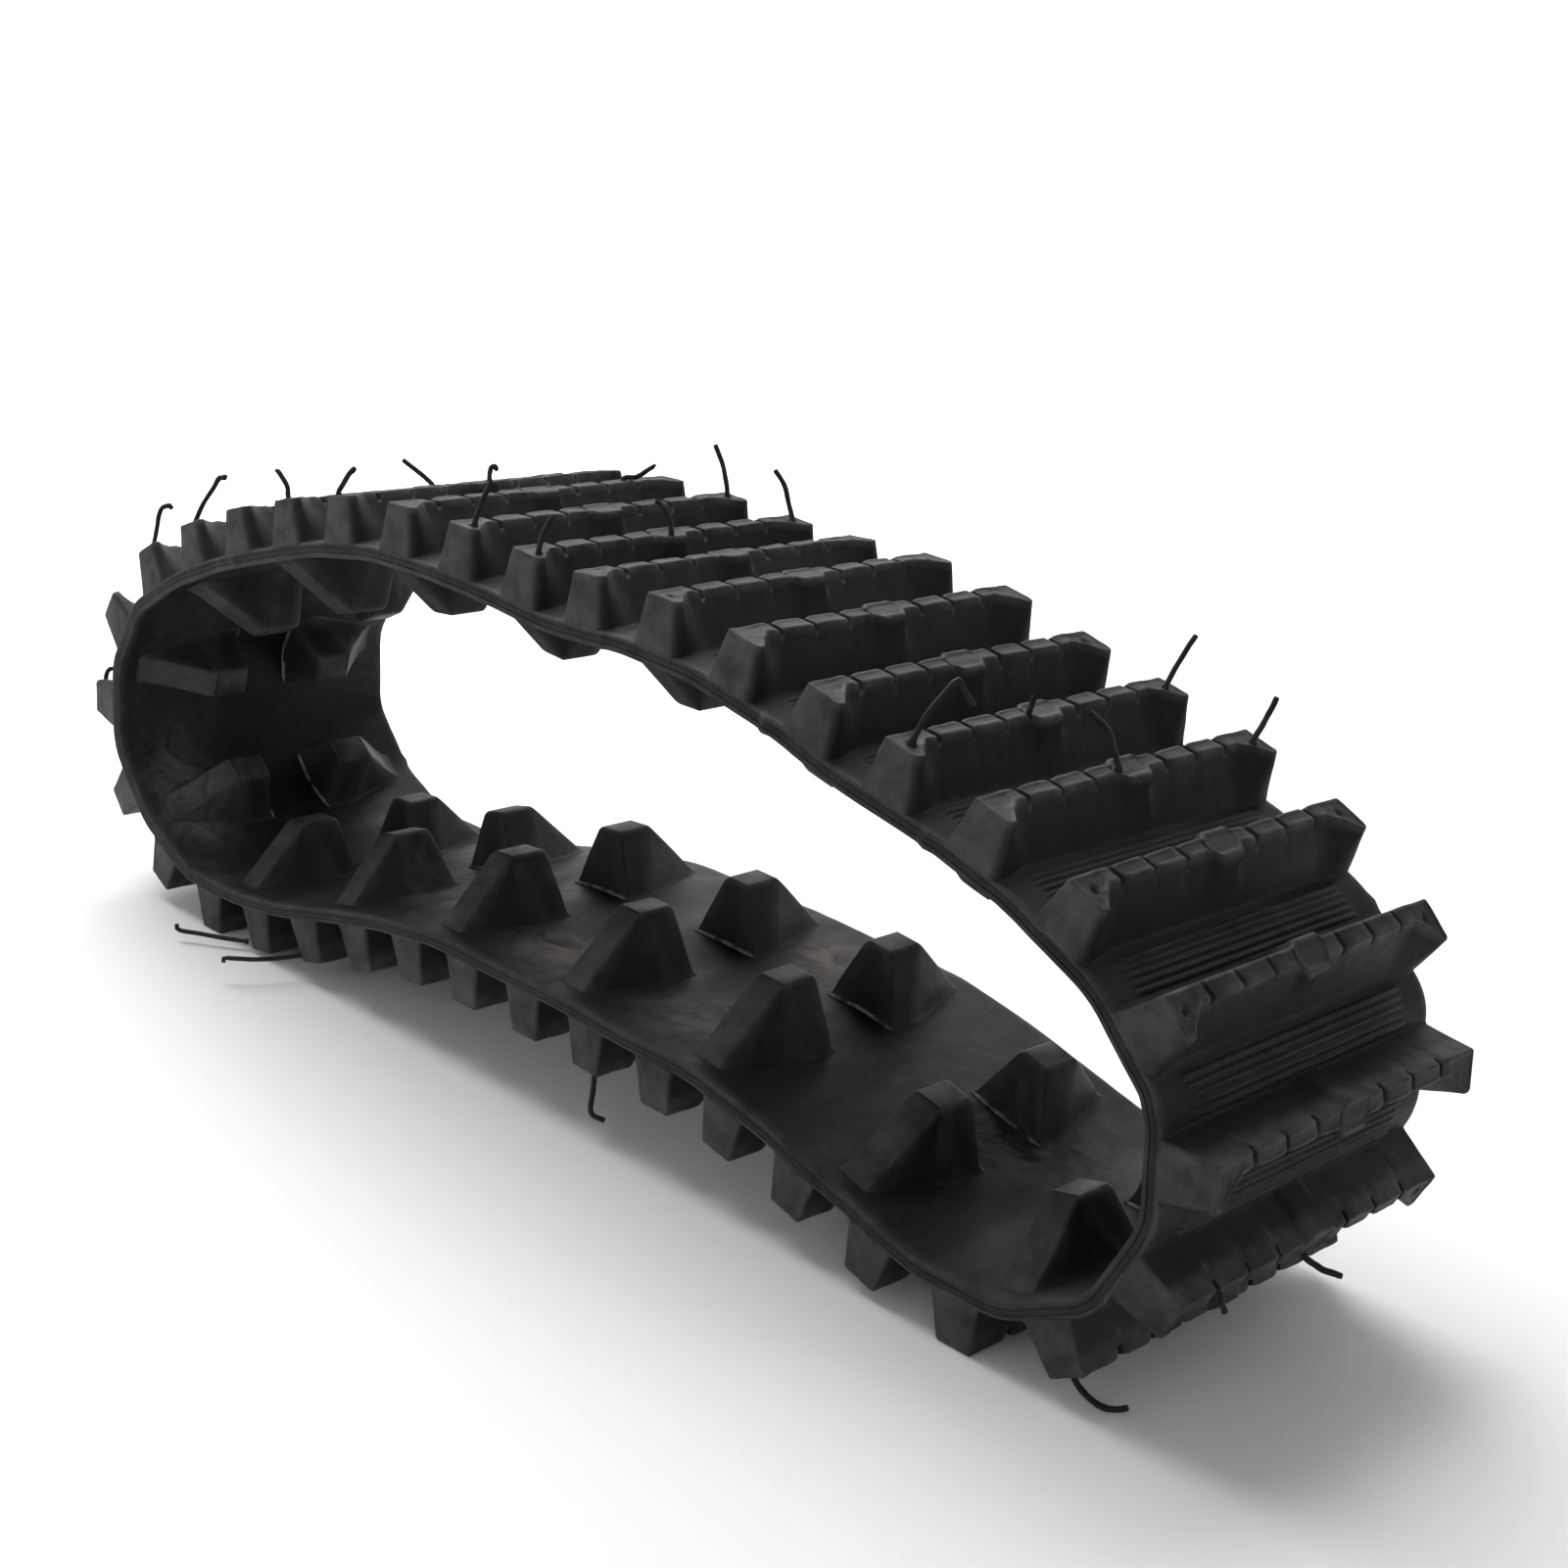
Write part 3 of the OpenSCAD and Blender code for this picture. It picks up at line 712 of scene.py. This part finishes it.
def drive_lug(k, m, sh):
    kk = k % 36
    th = math.radians(turn[kk])
    mean = H_[(kk - 1) % 36] + th / 2
    t = np.array([math.cos(mean), math.sin(mean)])
    n = np.array([-math.sin(mean), math.cos(mean)])
    us = np.linspace(-34, 34, 35)
    rn, rt = belt_drop(k, us)
    seed = k * 2 + (1 if m > 0 else 0)
    rings, wear_and_highlight = [], []
    for d, inset, flare in LUG_SLICES:
        q = d / 40.0
        o = lug_outline(min(max(q, 0.0), 1.0), inset, flare)
        u, y = o[:, 0], o[:, 1]
        surf = np.interp(u, rt, rn)               # belt face height at each point
        root = surf - d
        top = -HALF_T - d
        f = smooth(d / 16.0)
        h = root * (1 - f) + top * f
        u = u + 0.25 * noise2(np.full_like(u, d / 9.0), y / 14.0, seed)
        y = y + 0.25 * noise2(np.full_like(u, d / 8.0), u / 9.0, seed + 50)
        X = P[kk][0] + u * t[0] + h * n[0]
        Z = P[kk][1] + u * t[1] + h * n[1]
        rings.append(np.stack([X, m * y, Z], 1))
        # painted highlight: rounded corners 0.60, the outer end 0.85 and the top rim +0.9 paint lighter than the
        # shaded sides
        idx = np.arange(len(u)) % 6
        w = np.where(idx < 4, 0.60, 0.0)
        w[18:28] = 0.85
        if d > 38:
            w = w + 0.9
        wear_and_highlight.append(np.clip(w, 0, 1))
    sh.loft(rings, wear_and_highlight, flip=(m < 0))
    # flash left along the base of the face towards the channel, painted as a bright highlight line by its
    # wear_and_highlight value of 2.0
    us = np.linspace(-27.5, 27.5, 19)
    surf = np.interp(us, rt, rn)
    ring = []
    for i, u in enumerate(us):
        e = min(1.0, (i + 0.4) / 2.0, (18 - i + 0.4) / 2.0)
        prof = []
        for a in np.linspace(0, 2 * math.pi, 8, endpoint=False):
            r = 1.15 * e
            prof.append((math.cos(a) * r * 1.25 + 24.0 + 0.25 * math.sin(u * 0.6 + seed), surf[i] - 0.6 + math.sin(a) * r))
        prof = np.array(prof)
        ring.append(np.stack([P[kk][0] + u * t[0] + prof[:, 1] * n[0], m * prof[:, 0], P[kk][1] + u * t[1] + prof[:, 1] * n[1]], 1))
    sh.loft(ring, np.full((len(us), 8), 2.0), flip=(m > 0))


for body, (a, b) in SECTIONS.items():
    for k in range(a + 1, b + 1, 2):
        for m, tag in ((-1, "near"), (1, "far")):
            sh = Shell()
            drive_lug(k, m, sh)
            ob = sh.make(f"drive_lug_{k:02d}_{tag}", LUG, 32.0)
            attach(ob, body)
            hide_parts(f"{body}_drive_lugs")

# ---------------------------------------------------------------- vent hairs
# bar, place across, place along the bar's top, then points of the hair from its root: right, up and away, mm, as
# seen from the front quarter; last, how strongly its cut end is curled
HAIRS = [
    (0, -98, 8, [], 0.0),
    (6, -103, 0, [(-1, -14, 0), (-2, -27, -1), (5, -31, -3)], 0.3),
    (16, -103, 8, [(0, 7, 0), (3, 11, 0), (12, 11, 0)], 0.6),
    (18, -103, -4, [(2, 13, 0), (4, 25, 1), (6, 29, 1), (11, 30, 1)], 0.9),
    (19, -103, -5, [(5, 13, 0), (12, 24, 1), (16, 31, 1), (20, 31, 0)], 0.9),
    (21, -103, -8, [(-1, 8, 0), (-5, 15, 0), (-7, 18, 0)], 0.4),
    (21, 5, 0, [(-9, 9, 0), (-19, 17, 0)], 0.0),
    (22, -106, -8, [(2, 5, 0), (6, 12, 0), (9, 15, 0)], 0.9),
    (22, 5, 2, [(0, 5, 0), (1, 9, 0), (3, 10, 1)], 0.9),
    (23, 75, -8, [(8, 2, 0), (15, 6, 0), (20, 9, 0)], 0.2),
    (24, -103, 2, [(4, 13, 0), (10, 26, 0)], 0.0),
    (24, 103, 0, [(-1, 12, 0), (-4, 24, 0), (-8, 34, 0)], 0.0),
    (25, -103, 2, [(2, 10, 0), (8, 20, 0)], 0.0),
    (25, 0, 0, [(-1, 8, 0), (-4, 16, 0), (-9, 21, 0)], 0.0),
    (25, 103, 0, [(-2, 10, 0), (-5, 22, 0), (-11, 32, 0)], 0.0),
    (30, -103, -1, [(6, 12, 0), (14, 22, 1), (23, 31, 2), (26, 26, 3), (31, 18, 4)], 0.0),
    (30, -10, -4, [(1, 4, 0), (3, 9, 0)], 0.0),
    (30, 103, 0, [(7, 13, 0), (17, 29, 0)], 0.0),
    (31, -8, -6, [(-2, 10, 0), (-5, 20, 1), (-14, 29, 2)], 0.0),
    (31, 103, 0, [(6, 11, 0), (13, 24, 0)], 0.0),
    (35, 0, 2, [(8, -6, 0), (19, -10, 0)], 0.0),
    (35, -80, -8, [(1, -5, 0), (3, -9, 0)], 0.0)]
RIGHT = np.array([0.69626, 0.71466, 0.06699])
UP = np.array([-0.25878, 0.16287, 0.95211])
AWAY = np.array([-0.66952, 0.68025, -0.29833])
# hairs that lie beside the foot bars: bar, place along it, then points from the root: X, Y and Z
LYING = [[11, -4, [(-3, -13, 0), (-9, -28, 0.4), (-19, -41, 0.8), (-23, -45, 0.6), (-22, -46, -2.0)]],
         [12, -11, [(-14, -11, 0.5), (-29, -21, 1.2), (-41, -30, 2.0), (-42, -31, 6.0)]]]


def tube(sh, path, radii):
    path = np.array(path, float)
    tan = np.gradient(path, axis=0)
    tan /= np.linalg.norm(tan, axis=1)[:, None]
    ref = np.array([0.31, 0.87, 0.38])
    rings = []
    a = np.cross(tan[0], ref)
    a /= np.linalg.norm(a)
    for p, t, r in zip(path, tan, radii):
        a = a - t * (a @ t)
        a /= np.linalg.norm(a)
        b = np.cross(t, a)
        rings.append([p + r * (math.cos(w) * a + math.sin(w) * b) for w in np.linspace(0, 2 * math.pi, 10, endpoint=False)])
    sh.loft(rings, np.full((len(path), 10), 0.15))


def through(points, n):
    """Smooth curve through the points, n points in all (Catmull-Rom, evened out by length)."""
    p = np.array(points, float)
    p = np.vstack([2 * p[0] - p[1], p, 2 * p[-1] - p[-2]])
    out = []
    for i in range(1, len(p) - 2):
        for t in np.linspace(0, 1, 14, endpoint=False):
            a, b, c, d = p[i - 1:i + 3]
            out.append(0.5 * (2 * b + (c - a) * t + (2 * a - 5 * b + 4 * c - d) * t ** 2 + (3 * b - a - 3 * c + d) * t ** 3))
    out.append(p[-2])
    out = np.array(out)
    s = np.concatenate([[0], np.cumsum(np.linalg.norm(np.diff(out, axis=0), axis=1))])
    q = np.linspace(0, s[-1], n)
    return np.stack([np.interp(q, s, out[:, j]) for j in range(3)], 1)


def hair_points(k, y, u, path, curl, seed):
    rs = np.random.default_rng(seed)
    t3, n3, y3 = np.array([T[k][0], 0, T[k][1]]), np.array([N[k][0], 0, N[k][1]]), np.array([0.0, 1.0, 0.0])
    root = np.array([seat[k][0], y, seat[k][1]]) + u * t3 + TIP * n3
    if path:
        pts = [root - 1.6 * n3, root + 1.2 * n3] + [root + r * RIGHT + w * UP + a * AWAY for r, w, a in path]
    else:
        pts = [root - 1.6 * n3] + [root + (21 - 21 * math.cos(v)) * -t3 + 21 * math.sin(v) * n3 + 1.5 * v * y3
                                   for v in np.radians([12, 30, 50, 70, 84, 96])]
        pts.append(pts[-1] + np.array([3.0, 1.5, 2.0]))
    if curl > 0:
        d = pts[-1] - pts[-2]
        d /= np.linalg.norm(d)
        side = np.cross(d, rs.normal(size=3))
        side /= np.linalg.norm(side)
        pts.append(pts[-1] + 1.9 * curl * (0.4 * d + side))
        pts.append(pts[-1] + 1.5 * curl * (-0.8 * d + 0.6 * side))
    c = through(pts, 26)
    s = np.linspace(0, 1, len(c))
    c[2:] += 0.25 * np.stack([hash_noise(s[2:] * 5 + 9, seed + j) for j in range(3)], 1)
    rad = 1.68 + 0.10 * hash_noise(s * 9, seed + 7)
    rad[0] = 2.9
    rad[1] = 2.3
    rad[2] = 1.9
    rad[-1] = 1.45
    if curl > 0.5:
        rad[-6:-1] += 0.20
    return c, rad


for body, (a, b) in SECTIONS.items():
    mine = [h for h in HAIRS if a <= h[0] <= b]
    flat = [h for h in LYING if a <= h[0] <= b]
    if not mine and not flat:
        continue
    sh = Shell()
    for h in mine:
        pts, rad = hair_points(*h, seed=int(h[0] * 10 + h[1] + 200))
        pts[:, 2] = np.maximum(pts[:, 2], 1.80)
        tube(sh, pts, rad)
    for k, at, path in flat:
        z0 = 1.7 + 1.0 + (seat[k][1] - TIP)
        root = np.array([seat[k][0] + at, -HALF_W + 3.0, z0])
        c = through([root] + [root + np.array(q, float) for q in path], 20)
        c[:, 2] = np.maximum(c[:, 2], 1.75)
        rad = np.full(20, 1.62)
        rad[0] = 2.2
        tube(sh, c, rad)
    ob = sh.make(f"vent_hairs_{body}", HAIR, 60.0)
    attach(ob, body)
    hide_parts(f"{body}_vent_hairs")

# ---------------------------------------------------------------- floor and light
def simple(name, colour, rough):
    m = bpy.data.materials.new(name)
    m.use_nodes = True
    b = m.node_tree.nodes["Principled BSDF"]
    b.inputs["Base Color"].default_value = colour + (1,)
    b.inputs["Roughness"].default_value = rough
    b.inputs["Specular IOR Level"].default_value = 0.1
    return m


def cyclorama():
    """A pale floor that curves up all round."""
    prof = [(0.0, 0.0), (2.0, 0.0), (4.0, 0.0)]
    for t in np.linspace(0, math.pi / 2, 12)[1:]:
        prof.append((4.0 + 2.5 * math.sin(t), 2.5 - 2.5 * math.cos(t)))
    prof.append((6.5, 7.0))
    n = 64
    v = [(-0.36, 0.0, 0.0)]
    for r, z in prof[1:]:
        for i in range(n):
            a = 2 * math.pi * i / n
            v.append((-0.36 + r * math.cos(a), r * math.sin(a), z))
    f = [(0, 1 + i, 1 + (i + 1) % n) for i in range(n)]
    for j in range(len(prof) - 2):
        for i in range(n):
            a, b = 1 + j * n + i, 1 + j * n + (i + 1) % n
            f.append((a, a + n, b + n, b))
    me = bpy.data.meshes.new("floor")
    me.from_pydata(v, [], f)
    me.shade_smooth()
    ob = bpy.data.objects.new("floor", me)
    bpy.context.scene.collection.objects.link(ob)
    me.materials.append(simple("floor_white", (0.93, 0.93, 0.93), 0.9))


cyclorama()


def area(name, at, aim, size, power, colour=(1, 1, 1)):
    li = bpy.data.lights.new(name, "AREA")
    li.shape = "RECTANGLE"
    li.size, li.size_y = size
    li.energy = power
    li.color = colour
    ob = bpy.data.objects.new(name, li)
    bpy.context.scene.collection.objects.link(ob)
    ob.location = at
    ob.rotation_euler = (Vector(aim) - Vector(at)).to_track_quat("-Z", "Y").to_euler()


area("top_soft", (-1.45, 0.35, 2.2), (-0.45, 0.0, 0.0), (2.4, 2.2), 84)
area("left_soft", (-0.5, -2.8, 1.0), (-0.36, 0.0, 0.15), (1.6, 1.6), 9)
area("wall_wash", (-1.2, 1.4, 3.4), (-4.6, 4.6, 2.0), (2.5, 1.5), 300)
world = bpy.data.worlds.new("world")
bpy.context.scene.world = world
world.use_nodes = True
world.node_tree.nodes["Background"].inputs["Color"].default_value = (1, 1, 1, 1)
world.node_tree.nodes["Background"].inputs["Strength"].default_value = 0.15
bpy.context.scene.view_settings.view_transform = "Standard"

bpy.context.view_layer.update()
